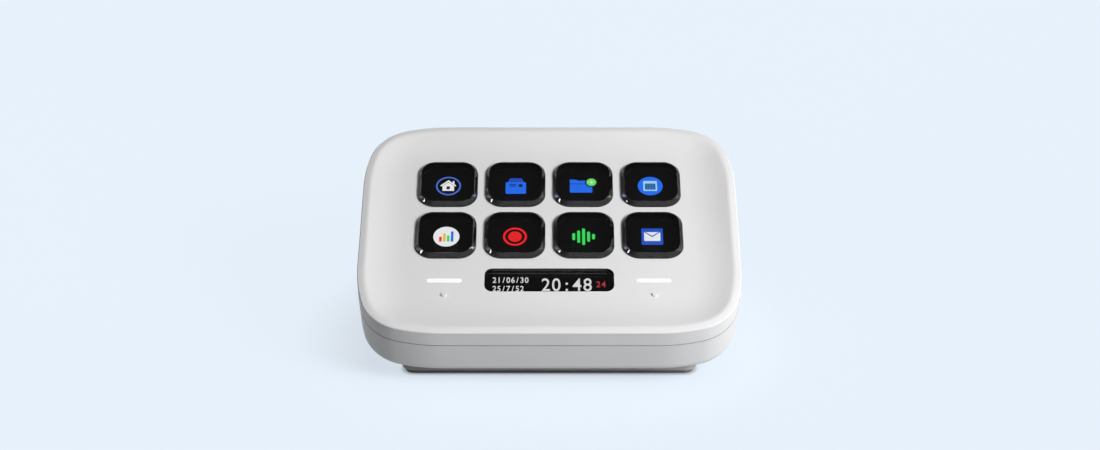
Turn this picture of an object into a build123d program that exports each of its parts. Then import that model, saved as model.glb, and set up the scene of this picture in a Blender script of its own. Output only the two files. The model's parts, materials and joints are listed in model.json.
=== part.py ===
"""A desk keypad: eight display keys, an information window and two touch bars on a tilted slab.

The slab's own frame is its face: x to the right, y up the slope and z out of the face, with zero
at the middle of the key field. "Height" below is measured along that z unless a name says floor.
"""

from build123d import *
import os
from math import cos, radians, sin, tan

os.makedirs("parts", exist_ok=True)

# ---------------------------------------------------------------- driving dimensions, in mm
tilt = 25.0  # the face leans back by this many degrees

body_width = 107.0
body_length = 78.0  # along the slope
body_middle = -7.35  # the slab's middle, down the slope from the key field's
corner_radius = 14.0
corner_ease_radius = 48.0  # each corner eases into its sides over this wider arc
corner_ease_turn = 15.0  # and turns by this many degrees on it
draft_angle = 1.2

rim_height = 1.9  # the rim's crown above the key field
rim_width = 2.0
rim_edge_break = 0.2
rim_crown_round = 2.5
rim_fall = 0.4  # the rim slopes outwards by this much
dish_width = 11.0  # from the flat key field out to the crown
parting_height = -3.7
parting_gap = 0.25
underside_height = -16.4
underside_round = 3.5

face_wall = 1.5
side_wall = 2.0
floor_wall = 2.0
tongue_wall = 0.9
tongue_depth = 1.3

key_pitch = 19.45
key_columns = 4
key_rows = 2
key_opening = 17.2
key_opening_corner = 4.8
key_clearance = 0.1
key_proud = 1.5
key_bevel = 0.9
key_travel = 0.8
key_flange = 0.8  # thickness of the flange that stops the cap under the face
key_flange_reach = 0.7
running_gap = 0.05

window_width = 36.0
window_length = 8.35
window_corner = 2.2
window_place = -26.1
window_recess = 0.4
bar_width = 9.8
bar_length = 1.5
bar_column = 29.1
bar_place = -26.3
dot_place = -31.5
dot_radius = 0.7
dot_height = 0.4

floor_gap = 4.8  # from the desk up to the slab's lowest edge
stand_width = 82.6
stand_setback = 4.6  # the stand's front behind the slab's lowest edge
stand_depth = 53.0
stand_corner = 3.5
stand_back_corner = 9.0
stand_wall = 2.2
foot_thickness = 1.3
foot_inset = 1.0

# ---------------------------------------------------------------- worked out from them
slope = radians(tilt)
shell_draft = tan(radians(draft_angle))
rim_edge_height = rim_height - rim_fall
rim_edge_inset = (rim_edge_height - parting_height) * shell_draft
crown_inset = rim_edge_inset + rim_width
underside_inset = (parting_height - underside_height) * shell_draft
half_length = body_length / 2
inner_floor = underside_height + floor_wall
dish_radius = (dish_width**2 + rim_height**2) / (2 * rim_height)

# the face frame stands so that the slab's footprint is centred on the origin and the foot on z = 0
round_centre = half_length - underside_inset - underside_round
round_height = underside_height + underside_round
lowest = (body_middle - round_centre) * sin(slope) + round_height * cos(slope) - underside_round
face_floor_height = floor_gap - lowest
rim_front = (body_middle - half_length + rim_edge_inset) * cos(slope) - rim_edge_height * sin(slope)
back_reach = (body_middle + round_centre) * cos(slope) - round_height * sin(slope) + underside_round
face_back = -(rim_front + back_reach) / 2
stand_front = face_back + (body_middle - round_centre) * cos(slope) - round_height * sin(slope) + stand_setback

face = Plane(origin=(0, face_back, face_floor_height), x_dir=(1, 0, 0), z_dir=(0, -sin(slope), cos(slope)))

level_slack = 0.08  # edges within this of a height count as level with it

# heights of the layers under the face
flange_top = -face_wall - running_gap
cap_bottom = flange_top - key_flange
sheet_top = cap_bottom - key_travel - running_gap
sheet_thickness = 0.3
contact_thickness = 0.2
panel_thickness = 1.3
backlight_thickness = 1.6
carrier_thickness = 1.0
contact_top = sheet_top - sheet_thickness
panel_top = contact_top - contact_thickness
backlight_top = panel_top - panel_thickness
carrier_top = backlight_top - backlight_thickness
carrier_bottom = carrier_top - carrier_thickness
board_top = -9.8
board_thickness = 1.6
board_bottom = board_top - board_thickness

key_places = [
    ((column - (key_columns - 1) / 2) * key_pitch, ((key_rows - 1) / 2 - row) * key_pitch)
    for row in range(key_rows)
    for column in range(key_columns)
]


def level(height, along=0.0):
    """The plane parallel to the face at this height, centred this far up the slope."""
    return Plane(origin=face.from_local_coords((0, along, height)), x_dir=face.x_dir, z_dir=face.z_dir)


def edges_at(part, height):
    """The part's edges that run level at this height."""
    return part.edges().filter_by(
        lambda edge: all(abs(face.to_local_coords(edge @ end).Z - height) < level_slack for end in (0, 1))
    )


def finish(piece, name):
    """Names a finished piece and writes it."""
    piece.part.label = name
    export_step(piece.part, f"parts/{name}.step")


def slab_outline(inset):
    """The slab's outline drawn in by this much: wide arcs ease each corner into its sides."""
    side = body_width / 2 - inset
    end = body_length / 2 - inset
    middle_radius = corner_radius - inset
    ease_radius = corner_ease_radius - inset
    ease = radians(corner_ease_turn)
    reach = ease_radius * (1 + sin(ease) - cos(ease)) + middle_radius * (cos(ease) - sin(ease))
    with BuildSketch() as outline:
        with BuildLine():
            Line((side, 0), (side, end - reach))
            start = JernArc((side, end - reach), (0, 1), ease_radius, corner_ease_turn)
            turn = JernArc(start @ 1, start % 1, middle_radius, 90 - 2 * corner_ease_turn)
            JernArc(turn @ 1, turn % 1, ease_radius, corner_ease_turn)
            Line((side - reach, end), (0, end))
            mirror(about=Plane.YZ)
            mirror(about=Plane.XZ)
        make_face()
    return outline.sketch


def end_face(part, last):
    """The part's highest or lowest face, by height."""
    return part.faces().sort_by(Axis(face.origin, face.z_dir))[-1 if last else 0]


def screws(name, plane, places, head, recess, shank):
    """Like screws whose heads stand on the plane; head, recess and shank are radius and length."""
    with BuildPart() as group:
        with BuildSketch(plane):
            with Locations(*places):
                Circle(head[0])
        extrude(amount=head[1])
        with BuildSketch(plane):
            with Locations(*places):
                Circle(shank[0])
        extrude(amount=-shank[1])
        with BuildSketch(plane.offset(head[1])):
            with Locations(*places):
                RegularPolygon(recess[0], 6)
        extrude(amount=-recess[1], mode=Mode.SUBTRACT)
    finish(group, name)


# ---------------------------------------------------------------- top housing
corner_screw_column = 44.0
corner_screw_row = 29.35
corner_screws = [
    (x, body_middle + y)
    for x in (-corner_screw_column, corner_screw_column)
    for y in (-corner_screw_row, corner_screw_row)
]
boss_meeting = -6.9
screw_post_radius = 3.0
corner_pilot_radius = 1.25
carrier_screw_column = 44.2
carrier_screws = [(x, y) for x in (-carrier_screw_column, carrier_screw_column) for y in (-14.0, 6.0)]
carrier_post_radius = 2.4
carrier_pilot_radius = 0.95
post_root = -0.8
ledge_inset = side_wall - tongue_wall
bar_corner = bar_length / 2 - running_gap

# the hollow above the face: a flat field with a curved slope all round
with BuildPart() as dish:
    with BuildSketch(level(0.0, body_middle)):
        add(slab_outline(crown_inset + dish_width - dish_radius))
    extrude(amount=dish_radius + rim_height)
    fillet(end_face(dish, False).edges(), dish_radius)

# what the hollow's wall fills inside, where its slope is plain
with BuildPart() as dish_wall:
    with BuildSketch(level(-face_wall, body_middle)):
        add(slab_outline(crown_inset))
    extrude(amount=2 * rim_height)
    field = end_face(dish_wall, False)
    chamfer(field.edges(), dish_width, rim_height, reference=field)

with BuildPart() as top_cavity:
    with BuildSketch(level(parting_height - parting_gap, body_middle)):
        add(slab_outline(side_wall))
    extrude(amount=rim_height - face_wall - parting_height)
    add(dish_wall.part, mode=Mode.SUBTRACT)

with BuildPart() as top_housing:
    with BuildSketch(level(parting_height, body_middle)):
        add(slab_outline(0.0))
    extrude(amount=rim_height - parting_height, taper=draft_angle)
    crown = end_face(top_housing, True)
    chamfer(crown.edges(), rim_width, rim_fall, reference=crown)
    add(dish.part, mode=Mode.SUBTRACT)
    chamfer(edges_at(top_housing, rim_edge_height), rim_edge_break)
    fillet(edges_at(top_housing, rim_height), rim_crown_round)
    add(top_cavity.part, mode=Mode.SUBTRACT)
    # the tongue that drops into the bottom housing
    with BuildSketch(level(parting_height - parting_gap - tongue_depth, body_middle)):
        add(slab_outline(ledge_inset))
        add(slab_outline(side_wall), mode=Mode.SUBTRACT)
    extrude(amount=tongue_depth + parting_gap)
    # posts for the corner screws and for the display carrier
    with BuildSketch(level(boss_meeting)):
        with Locations(*corner_screws):
            Circle(screw_post_radius)
    extrude(amount=post_root - boss_meeting)
    with BuildSketch(level(carrier_top)):
        with Locations(*carrier_screws):
            Circle(carrier_post_radius)
    extrude(amount=post_root - carrier_top)
    with BuildSketch(level(boss_meeting)):
        with Locations(*corner_screws):
            Circle(corner_pilot_radius)
    extrude(amount=-face_wall - boss_meeting, mode=Mode.SUBTRACT)
    with BuildSketch(level(carrier_top)):
        with Locations(*carrier_screws):
            Circle(carrier_pilot_radius)
    extrude(amount=-face_wall - carrier_top, mode=Mode.SUBTRACT)
    # openings through the face
    with BuildSketch(level(-face_wall)):
        with Locations(*key_places):
            RectangleRounded(key_opening, key_opening, key_opening_corner)
        with Locations((0, window_place)):
            RectangleRounded(window_width, window_length, window_corner)
        with Locations((-bar_column, bar_place), (bar_column, bar_place)):
            RectangleRounded(bar_width, bar_length, bar_corner)
    extrude(amount=face_wall, mode=Mode.SUBTRACT)
    # raised dots that the fingertips find
    with BuildSketch(level(-face_wall / 2)):
        with Locations((-bar_column, dot_place), (bar_column, dot_place)):
            Circle(dot_radius)
    extrude(amount=face_wall / 2 + dot_height)
finish(top_housing, "top_housing")

# ---------------------------------------------------------------- key caps
cap_size = key_opening - 2 * key_clearance
cap_corner = key_opening_corner - key_clearance
flange_size = key_opening + 2 * key_flange_reach


def key_cap(place):
    """A clear block with a bevelled top and a flange that the face holds down."""
    cap_plane = Plane(
        origin=face.from_local_coords((place[0], place[1], cap_bottom)), x_dir=face.x_dir, z_dir=face.z_dir
    )
    with BuildPart() as cap:
        with BuildSketch(cap_plane):
            RectangleRounded(cap_size, cap_size, cap_corner)
        extrude(amount=key_proud - cap_bottom)
        chamfer(end_face(cap, True).edges(), key_bevel)
        with BuildSketch(cap_plane):
            Rectangle(flange_size, flange_size)
        extrude(amount=key_flange)
    return cap


for number, place in enumerate(key_places, start=1):
    finish(key_cap(place), f"key_cap_{number}")

# ---------------------------------------------------------------- silicone key sheet and contact sheet
sheet_width = 79.2
sheet_length = 39.8
sheet_corner = 2.0
sheet_border = 0.8
key_view = 15.4  # the clear window under each key, with its corners cut
key_view_corner = 2.4


def key_views():
    """The eight windows of a sheet under the keys."""
    with BuildSketch() as views:
        with Locations(*key_places):
            Rectangle(key_view, key_view)
        chamfer(views.vertices(), key_view_corner)
    return views.sketch


with BuildPart() as key_sheet:
    with BuildSketch(level(contact_top)):
        RectangleRounded(sheet_width, sheet_length, sheet_corner)
        add(key_views(), mode=Mode.SUBTRACT)
    extrude(amount=sheet_thickness)
    with BuildSketch(level(contact_top)):
        RectangleRounded(sheet_width, sheet_length, sheet_corner)
        Rectangle(sheet_width - 2 * sheet_border, sheet_length - 2 * sheet_border, mode=Mode.SUBTRACT)
    extrude(amount=-face_wall - contact_top)
finish(key_sheet, "key_sheet")

with BuildPart() as contact_sheet:
    with BuildSketch(level(panel_top)):
        RectangleRounded(sheet_width, sheet_length, sheet_corner)
        add(key_views(), mode=Mode.SUBTRACT)
    extrude(amount=contact_thickness)
finish(contact_sheet, "contact_sheet")

# ---------------------------------------------------------------- key display and its backlight
panel_width = 78.6
panel_length = 38.8
tray_wall = 0.8

with BuildPart() as key_display:
    with BuildSketch(level(backlight_top)):
        Rectangle(panel_width, panel_length)
    extrude(amount=panel_thickness)
finish(key_display, "key_display")

with BuildPart() as key_backlight:
    with BuildSketch(level(carrier_top)):
        Rectangle(panel_width, panel_length)
    extrude(amount=backlight_thickness)
    with BuildSketch(level(backlight_top)):
        Rectangle(panel_width - 2 * tray_wall, panel_length - 2 * tray_wall)
    extrude(amount=-tray_wall / 2, mode=Mode.SUBTRACT)
finish(key_backlight, "key_backlight")

# ---------------------------------------------------------------- information window and display
lens_flange = 1.2
lens_flange_thickness = 0.8
info_width = 39.6
info_length = 12.0
info_thickness = 1.6
info_top = -3.0
info_bottom = info_top - info_thickness
lens_bottom = -face_wall - lens_flange_thickness

with BuildPart() as info_lens:
    with BuildSketch(level(-face_wall, window_place)):
        RectangleRounded(
            window_width - 2 * running_gap, window_length - 2 * running_gap, window_corner - running_gap
        )
    extrude(amount=face_wall - window_recess)
    with BuildSketch(level(lens_bottom, window_place)):
        RectangleRounded(
            window_width + 2 * lens_flange, window_length + 2 * lens_flange, window_corner + lens_flange
        )
    extrude(amount=lens_flange_thickness)
finish(info_lens, "info_lens")

with BuildPart() as info_display:
    with BuildSketch(level(info_bottom, window_place)):
        Rectangle(info_width, info_length)
    extrude(amount=info_thickness)
finish(info_display, "info_display")

# ---------------------------------------------------------------- touch bars: light guides, board, diodes
guide_flange = 0.8
guide_bottom = -3.1
diode_size = (1.6, 0.8, 0.5)
diode_pitch = 3.2
diodes_per_bar = 3
touch_board_top = guide_bottom - diode_size[2]
touch_board_thickness = 0.8
touch_board_bottom = touch_board_top - touch_board_thickness
touch_pad = (17.0, 9.0)
touch_strip_place = -34.6
touch_strip = (75.2, 3.0)
touch_neck_place = (bar_place + touch_strip_place) / 2


def touch_light(column, name):
    """The clear bar that shows through its slot, with a wider foot bonded under the face."""
    with BuildPart() as guide:
        with BuildSketch(level(-face_wall)):
            with Locations((column, bar_place)):
                RectangleRounded(
                    bar_width - 2 * running_gap, bar_length - 2 * running_gap, bar_corner - running_gap
                )
        extrude(amount=face_wall)
        with BuildSketch(level(guide_bottom)):
            with Locations((column, bar_place)):
                Rectangle(bar_width + 2 * guide_flange, bar_length + 2 * guide_flange)
        extrude(amount=-face_wall - guide_bottom)
    finish(guide, name)


touch_light(-bar_column, "touch_light_left")
touch_light(bar_column, "touch_light_right")

with BuildPart() as touch_board:
    with BuildSketch(level(touch_board_bottom)):
        with Locations((-bar_column, bar_place), (bar_column, bar_place)):
            Rectangle(*touch_pad)
        with Locations((0, touch_strip_place)):
            Rectangle(*touch_strip)
        with Locations((-bar_column, touch_neck_place), (bar_column, touch_neck_place)):
            Rectangle(touch_pad[0], bar_place - touch_strip_place)
    extrude(amount=touch_board_thickness)
finish(touch_board, "touch_board")

with BuildPart() as touch_leds:
    with BuildSketch(level(touch_board_top)):
        with Locations((-bar_column, bar_place), (bar_column, bar_place)):
            with GridLocations(diode_pitch, 1, diodes_per_bar, 1):
                Rectangle(diode_size[0], diode_size[1])
    extrude(amount=diode_size[2])
finish(touch_leds, "touch_leds")

# ---------------------------------------------------------------- display carrier
carrier_wall = 1.0
carrier_slack = 0.2
carrier_width = panel_width + 2 * (carrier_slack + carrier_wall)
carrier_back = panel_length / 2 + carrier_slack + carrier_wall
carrier_front = -36.6
ear_length = 6.0
carrier_hole = 1.2
cable_notch = 16.0

with BuildPart() as display_carrier:
    with BuildSketch(level(carrier_bottom)):
        with Locations((0, (carrier_back + carrier_front) / 2)):
            Rectangle(carrier_width, carrier_back - carrier_front)
        with Locations(*carrier_screws):
            SlotCenterToCenter(2 * carrier_post_radius, ear_length)
        with Locations(*carrier_screws):
            Circle(carrier_hole, mode=Mode.SUBTRACT)
        with Locations((0, carrier_back)):
            Rectangle(cable_notch, 2 * carrier_wall + carrier_slack, mode=Mode.SUBTRACT)
    extrude(amount=carrier_thickness)
    # the rim that holds the key display and its backlight
    with BuildSketch(level(carrier_top)):
        Rectangle(carrier_width, 2 * carrier_back)
        Rectangle(panel_width + 2 * carrier_slack, panel_length + 2 * carrier_slack, mode=Mode.SUBTRACT)
        with Locations((0, carrier_back)):
            Rectangle(cable_notch, 2 * (carrier_wall + carrier_slack), mode=Mode.SUBTRACT)
        with Locations((0, -carrier_back)):
            Rectangle(carrier_width, 2 * (carrier_wall + carrier_slack), mode=Mode.SUBTRACT)
    extrude(amount=backlight_thickness)
    # the pads under the information display and the touch board
    with BuildSketch(level(carrier_top)):
        with Locations((0, window_place)):
            Rectangle(info_width - 2 * carrier_wall, info_length - 2 * carrier_wall)
    extrude(amount=info_bottom - carrier_top)
    with BuildSketch(level(carrier_top)):
        with Locations((-bar_column, bar_place), (bar_column, bar_place)):
            Rectangle(touch_pad[0] - carrier_wall, touch_pad[1] - carrier_wall)
    extrude(amount=touch_board_bottom - carrier_top)
finish(display_carrier, "display_carrier")

screws(
    "carrier_screws",
    Plane(level(carrier_bottom).origin, x_dir=face.x_dir, z_dir=-face.z_dir),
    [(x, -y) for x, y in carrier_screws],
    head=(1.9, 1.2),
    recess=(0.8, 0.7),
    shank=(carrier_pilot_radius - running_gap, 4.6),
)

# ---------------------------------------------------------------- main board and what stands on it
board_width = 76.0
board_back = 28.4
board_front = -21.6
board_middle = (board_back + board_front) / 2
board_screw_inset = 4.0
board_screws = [
    (x, y)
    for x in (-board_width / 2 + board_screw_inset, board_width / 2 - board_screw_inset)
    for y in (board_front + board_screw_inset, board_back - board_screw_inset)
]
standoff_radius = 2.6
board_pilot_radius = 0.95
board_hole = 1.1

with BuildPart() as main_board:
    with BuildSketch(level(board_bottom)):
        with Locations((0, board_middle)):
            Rectangle(board_width, board_back - board_front)
        with Locations(*board_screws):
            Circle(board_hole, mode=Mode.SUBTRACT)
    extrude(amount=board_thickness)
finish(main_board, "main_board")

screws(
    "board_screws",
    level(board_top),
    board_screws,
    head=(1.9, 1.2),
    recess=(0.8, 0.7),
    shank=(board_pilot_radius - running_gap, board_thickness + 2.2),
)


def board_block(name, place, size, corner):
    """A package soldered flat on the main board."""
    with BuildPart() as block:
        with BuildSketch(level(board_top)):
            with Locations(place):
                Rectangle(size[0], size[1])
        extrude(amount=size[2])
        chamfer(end_face(block, True).edges(), corner)
    finish(block, name)


display_socket_place = (0, 9.0)
front_socket_place = (0, -18.0)
socket_size = (16.0, 3.6, 1.1)
board_block("processor", (-17.0, 2.0), (12.0, 12.0, 1.2), 0.25)
board_block("memory_chip", (15.0, 1.0), (8.0, 6.0, 0.9), 0.2)
board_block("display_socket", display_socket_place, socket_size, 0.2)
board_block("front_socket", front_socket_place, socket_size, 0.2)

# ---------------------------------------------------------------- flexible cables
side_plane = Plane(origin=face.origin, x_dir=(0, cos(slope), sin(slope)), z_dir=(1, 0, 0))
cable_thickness = 0.2
cable_bend = 0.6
cable_width = 14.0
cable_board_height = board_top + socket_size[2] / 2


def flat_cable(name, route):
    """A flexible cable that runs through these points of the slab's middle plane."""
    with BuildPart() as cable:
        with BuildLine(side_plane) as line:
            FilletPolyline(*route, radius=cable_bend)
        with BuildSketch(Plane(origin=line.line @ 0, x_dir=(1, 0, 0), z_dir=line.line % 0)):
            Rectangle(cable_width, cable_thickness)
        sweep()
    finish(cable, name)


display_cable_height = panel_top - panel_thickness / 2
display_cable_out = carrier_back - cable_bend / 2
front_cable_height = touch_board_top - touch_board_thickness / 2
front_cable_out = carrier_front - cable_bend
flat_cable(
    "display_cable",
    [
        (panel_length / 2, display_cable_height),
        (display_cable_out, display_cable_height),
        (display_cable_out, cable_board_height),
        (display_socket_place[1] + socket_size[1] / 2, cable_board_height),
    ],
)
flat_cable(
    "front_cable",
    [
        (touch_strip_place - touch_strip[1] / 2, front_cable_height),
        (front_cable_out, front_cable_height),
        (front_cable_out, cable_board_height),
        (front_socket_place[1] - socket_size[1] / 2, cable_board_height),
    ],
)

# ---------------------------------------------------------------- USB-C receptacle
usb_outer = (8.94, 3.26)
usb_wall = 0.3
usb_length = 7.4
usb_mouth = body_middle + half_length - 0.75
usb_depth = 6.2
usb_height = board_top + usb_outer[1] / 2
usb_tongue = (6.7, 0.7, 4.5)
usb_slot_clearance = 0.12


def usb_plane(along):
    """The plane across the receptacle, facing out of its mouth, this far up the slope."""
    return Plane(
        origin=face.from_local_coords((0, along, usb_height)), x_dir=(1, 0, 0), z_dir=(0, cos(slope), sin(slope))
    )


with BuildPart() as usb_c_shell:
    with BuildSketch(usb_plane(usb_mouth)):
        SlotOverall(*usb_outer)
    extrude(amount=-usb_length)
    with BuildSketch(usb_plane(usb_mouth)):
        SlotOverall(usb_outer[0] - 2 * usb_wall, usb_outer[1] - 2 * usb_wall)
    extrude(amount=-usb_depth, mode=Mode.SUBTRACT)
finish(usb_c_shell, "usb_c_shell")

with BuildPart() as usb_c_tongue:
    with BuildSketch(usb_plane(usb_mouth - usb_depth)):
        Rectangle(usb_tongue[0], usb_tongue[1])
    extrude(amount=usb_tongue[2])
    chamfer(usb_c_tongue.edges().filter_by(Axis.X).group_by(Axis.Y)[-1], usb_tongue[1] / 4)
finish(usb_c_tongue, "usb_c_tongue")

# ---------------------------------------------------------------- bottom housing
rim_of_bottom = parting_height - parting_gap
corner_boss_radius = 3.4
corner_hole_radius = 1.45
counterbore_radius = 2.5
counterbore_depth = 2.3
stand_screws = [(x, y) for x in (-28.0, 28.0) for y in (-24.0, -3.0)]
stand_hole_radius = 1.45
inner_break = underside_round - side_wall

with BuildPart() as bottom_cavity:
    with BuildSketch(level(rim_of_bottom, body_middle)):
        add(slab_outline(side_wall))
    extrude(amount=inner_floor - rim_of_bottom, taper=draft_angle)
    chamfer(end_face(bottom_cavity, False).edges(), inner_break)

with BuildPart() as bottom_housing:
    with BuildSketch(level(rim_of_bottom, body_middle)):
        add(slab_outline(0.0))
    extrude(amount=underside_height - rim_of_bottom, taper=draft_angle)
    fillet(end_face(bottom_housing, False).edges(), underside_round)
    add(bottom_cavity.part, mode=Mode.SUBTRACT)
    # the rebate that takes the top housing's tongue
    with BuildSketch(level(rim_of_bottom, body_middle)):
        add(slab_outline(ledge_inset - running_gap))
    extrude(amount=-tongue_depth, mode=Mode.SUBTRACT)
    # corner bosses and standoffs under the main board
    with BuildSketch(level(inner_floor - inner_break)):
        with Locations(*corner_screws):
            Circle(corner_boss_radius)
    extrude(amount=boss_meeting - inner_floor + inner_break)
    with BuildSketch(level(inner_floor - floor_wall / 2)):
        with Locations(*board_screws):
            Circle(standoff_radius)
    extrude(amount=board_bottom - inner_floor + floor_wall / 2)
    # holes for every screw
    with BuildSketch(level(boss_meeting)):
        with Locations(*corner_screws):
            Circle(corner_hole_radius)
    extrude(amount=underside_height - boss_meeting, mode=Mode.SUBTRACT)
    with BuildSketch(level(underside_height)):
        with Locations(*corner_screws):
            Circle(counterbore_radius)
    extrude(amount=counterbore_depth, mode=Mode.SUBTRACT)
    with BuildSketch(level(board_bottom)):
        with Locations(*board_screws):
            Circle(board_pilot_radius)
    extrude(amount=inner_floor - board_bottom, mode=Mode.SUBTRACT)
    with BuildSketch(level(inner_floor)):
        with Locations(*stand_screws):
            Circle(stand_hole_radius)
    extrude(amount=-floor_wall, mode=Mode.SUBTRACT)
    # the slot for the receptacle's mouth
    with BuildSketch(usb_plane(body_middle + half_length)):
        SlotOverall(usb_outer[0] + 2 * usb_slot_clearance, usb_outer[1] + 2 * usb_slot_clearance)
    extrude(amount=-2 * side_wall, mode=Mode.SUBTRACT)
finish(bottom_housing, "bottom_housing")

screws(
    "housing_screws",
    Plane(level(underside_height + counterbore_depth).origin, x_dir=face.x_dir, z_dir=-face.z_dir),
    [(x, -y) for x, y in corner_screws],
    head=(2.3, 1.6),
    recess=(1.1, 0.9),
    shank=(corner_pilot_radius - running_gap, 11.6),
)

# ---------------------------------------------------------------- stand, its screws, weight and foot
stand_floor = 2.0
stand_middle = stand_front + stand_depth / 2
stand_height = 40.0  # before the slab's underside cuts it to a wedge
column_radius = 3.0
stand_pilot_radius = 1.25
stand_pilot_depth = 9.0
weight_size = (44.0, 34.0, 4.0)
weight_middle = 7.0
peg_radius = 2.0
peg_column = 15.0
pegs = [(-peg_column, weight_middle), (peg_column, weight_middle)]
stand_edge = 0.4


def stand_outline(inset):
    """The stand seen from above, drawn in by this much: tight corners in front, round ones behind."""
    with BuildSketch() as outline:
        with Locations((0, stand_middle)):
            Rectangle(stand_width - 2 * inset, stand_depth - 2 * inset)
        fillet(outline.vertices().group_by(Axis.Y)[0], stand_corner - inset)
        fillet(outline.vertices().group_by(Axis.Y)[-1], stand_back_corner - inset)
    return outline.sketch


with BuildPart() as stand_block:
    with BuildSketch(Plane.XY.offset(foot_thickness)):
        add(stand_outline(0))
    extrude(amount=stand_height)
    split(bisect_by=level(underside_height), keep=Keep.BOTTOM)

with BuildPart() as stand_columns:
    with BuildSketch(level(underside_height)):
        with Locations(*stand_screws):
            Circle(column_radius)
    extrude(amount=-stand_height)
    add(stand_block.part, mode=Mode.INTERSECT)

with BuildPart() as stand:
    add(stand_block.part)
    with BuildSketch(Plane.XY.offset(foot_thickness + stand_floor)):
        add(stand_outline(stand_wall))
    extrude(amount=stand_height, mode=Mode.SUBTRACT)
    add(stand_columns.part)
    with BuildSketch(Plane.XY.offset(foot_thickness + stand_floor)):
        with Locations(*pegs):
            Circle(peg_radius)
    extrude(amount=weight_size[2] + stand_edge)
    with BuildSketch(level(underside_height)):
        with Locations(*stand_screws):
            Circle(stand_pilot_radius)
    extrude(amount=-stand_pilot_depth, mode=Mode.SUBTRACT)
finish(stand, "stand")

with BuildPart() as base_weight:
    with BuildSketch(Plane.XY.offset(foot_thickness + stand_floor)):
        with Locations((0, weight_middle)):
            Rectangle(weight_size[0], weight_size[1])
        with Locations(*pegs):
            Circle(peg_radius + key_clearance, mode=Mode.SUBTRACT)
    extrude(amount=weight_size[2])
finish(base_weight, "base_weight")

with BuildPart() as rubber_foot:
    with BuildSketch():
        add(stand_outline(foot_inset))
    extrude(amount=foot_thickness)
finish(rubber_foot, "rubber_foot")

screws(
    "stand_screws",
    level(inner_floor),
    stand_screws,
    head=(2.3, 1.6),
    recess=(1.1, 0.9),
    shank=(stand_pilot_radius - running_gap, floor_wall + 7.5),
)
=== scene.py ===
"""Desk keypad with eight display keys: its finishes, its lit screens and the studio round it.

Lengths are metres, except where a comment says mm. The face has a frame of its own: x to the
right, y up the slope and z out of the face, in mm, with zero in the middle of the eight keys.
"""

import json
import math

import bmesh
import bpy
from mathutils import Matrix, Vector


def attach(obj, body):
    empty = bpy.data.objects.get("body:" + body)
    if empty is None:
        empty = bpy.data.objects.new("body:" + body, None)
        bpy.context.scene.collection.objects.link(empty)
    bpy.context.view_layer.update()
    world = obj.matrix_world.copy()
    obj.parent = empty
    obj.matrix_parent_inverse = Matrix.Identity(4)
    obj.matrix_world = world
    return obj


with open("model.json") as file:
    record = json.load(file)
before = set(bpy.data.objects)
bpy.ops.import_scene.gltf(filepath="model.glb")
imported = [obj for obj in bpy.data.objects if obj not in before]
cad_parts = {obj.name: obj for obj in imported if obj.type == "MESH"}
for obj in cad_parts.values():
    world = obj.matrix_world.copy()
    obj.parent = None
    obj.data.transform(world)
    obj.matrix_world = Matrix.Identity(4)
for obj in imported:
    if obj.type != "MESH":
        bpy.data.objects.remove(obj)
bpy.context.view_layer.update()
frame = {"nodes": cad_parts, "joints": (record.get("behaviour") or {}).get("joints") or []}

bl_info = {
    "name": "Desk keypad",
    "version": (1, 0, 0),
    "blender": (4, 5, 0),
    "location": "3D View > Sidebar > Keypad",
    "description": "Finishes, lit screens and studio for a desk keypad with display keys",
    "category": "Object",
}

MM = 0.001
MICRON = 0.000001

# heights and places on the face, all in mm in the face's frame
KEY_PROUD = 1.5  # from the face up to the top of a key
KEY_BOTTOM = -2.35
KEY_PITCH = 19.45
KEY_PANEL = -3.7  # the key display's glass
INFO_PANEL = -3.0  # the information display's glass
FACE_WALL = 1.5
WINDOW_REACH = 20.0  # from the middle to beyond the window's ends
WINDOW_LOW = -32.0  # a little below the window on the face
WINDOW_HIGH = -20.2  # a little above it
PARTING_TOP = -3.7  # the upper shell's lower rim
PARTING_BOTTOM = -3.95  # the lower shell's upper rim
PARTING_TONGUE = -5.25  # how far down the upper shell's tongue reaches
HAIR = 0.01  # how far a height may be off where a straight wall is looked for
SLACK = 0.05  # and where a ledge or a key's side is looked for

KEY_CAPS = [f"key_cap_{number}" for number in range(1, 9)]

# how the solids are shaded
SEAM = 2e-6  # facets whose corners are this near are joined
MOULDED_ANGLE = math.radians(32)  # sharper edges stay sharp
CLEAR_ANGLE = math.radians(28)
ROUNDED_ANGLE = math.radians(40)  # sharper edges are rounded
ROUNDING_STEPS = 3
CAP_ROUNDING = 0.00025
LENS_ROUNDING = 0.0002


# ---------------------------------------------------------------- the face's frame
def middle(places, way):
    """Half way between the lowest and the highest of the places along this way."""
    reaches = [place.dot(way) for place in places]
    return (min(reaches) + max(reaches)) / 2


def face_frame():
    """Turns millimetres in the face's frame into metres in the world."""
    out = -Vector(frame["joints"][0]["axis"]).normalized()
    right = Vector((1, 0, 0))
    up_slope = out.cross(right)
    places = [vertex.co for name in KEY_CAPS for vertex in frame["nodes"][name].data.vertices]
    top = max(place.dot(out) for place in places)
    origin = right * middle(places, right) + up_slope * middle(places, up_slope)
    origin += out * (top - KEY_PROUD * MM)
    turn = Matrix((right, up_slope, out)).transposed().to_4x4()
    return Matrix.Translation(origin) @ turn @ Matrix.Scale(MM, 4)


FACE = face_frame()


# ---------------------------------------------------------------- colour and node helpers
def shade(red, green, blue, alpha=1.0):
    """A colour as it looks on a screen, 0 to 255, turned into the linear one that is mixed."""
    linear = []
    for part in (red, green, blue):
        level = part / 255
        linear.append(level / 12.92 if level <= 0.04045 else ((level + 0.055) / 1.055) ** 2.4)
    return (*linear, alpha)


def add_node(tree, kind, place, **settings):
    """A node of this kind at this place in the tree, with its settings."""
    node = tree.nodes.new(kind)
    node.location = place
    for name, value in settings.items():
        setattr(node, name, value)
    return node


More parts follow.
